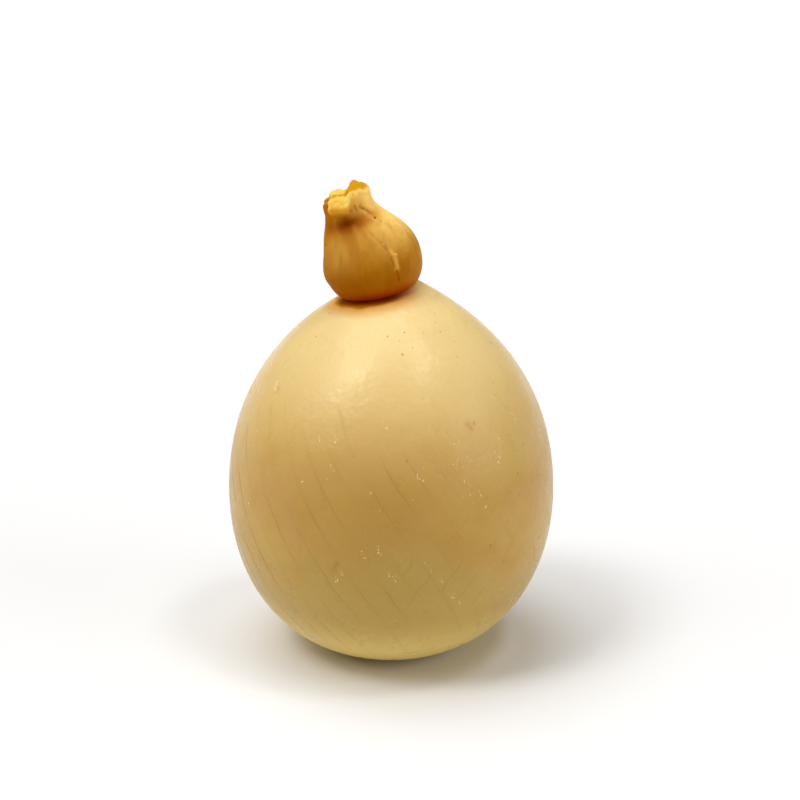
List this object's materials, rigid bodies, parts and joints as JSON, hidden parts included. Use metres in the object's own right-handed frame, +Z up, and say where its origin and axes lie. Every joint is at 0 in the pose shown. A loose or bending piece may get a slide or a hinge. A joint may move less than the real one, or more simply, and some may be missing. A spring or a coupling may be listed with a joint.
{
  "type": "caciocavallo cheese",
  "caption": "Whole stretched-curd cheese: smooth egg-shaped body on a small flat spot, with a leaning bulb-shaped head over a tight neck, gathered into a torn tuft.",
  "frame": {"origin": "middle of the flat spot that the cheese rests on", "axes": "+Z up along the body's axis, +X to the right as seen from the front, -Y to the front, the head leaning to -X"},
  "size_m": [0.1424, 0.1416, 0.2065],
  "materials": {
    "rind": "waxy, semi-gloss, straw yellow on the body and amber on the head"
  },
  "bodies": {
    "root": {"cheese": "rind"}
  },
  "joints": []
}
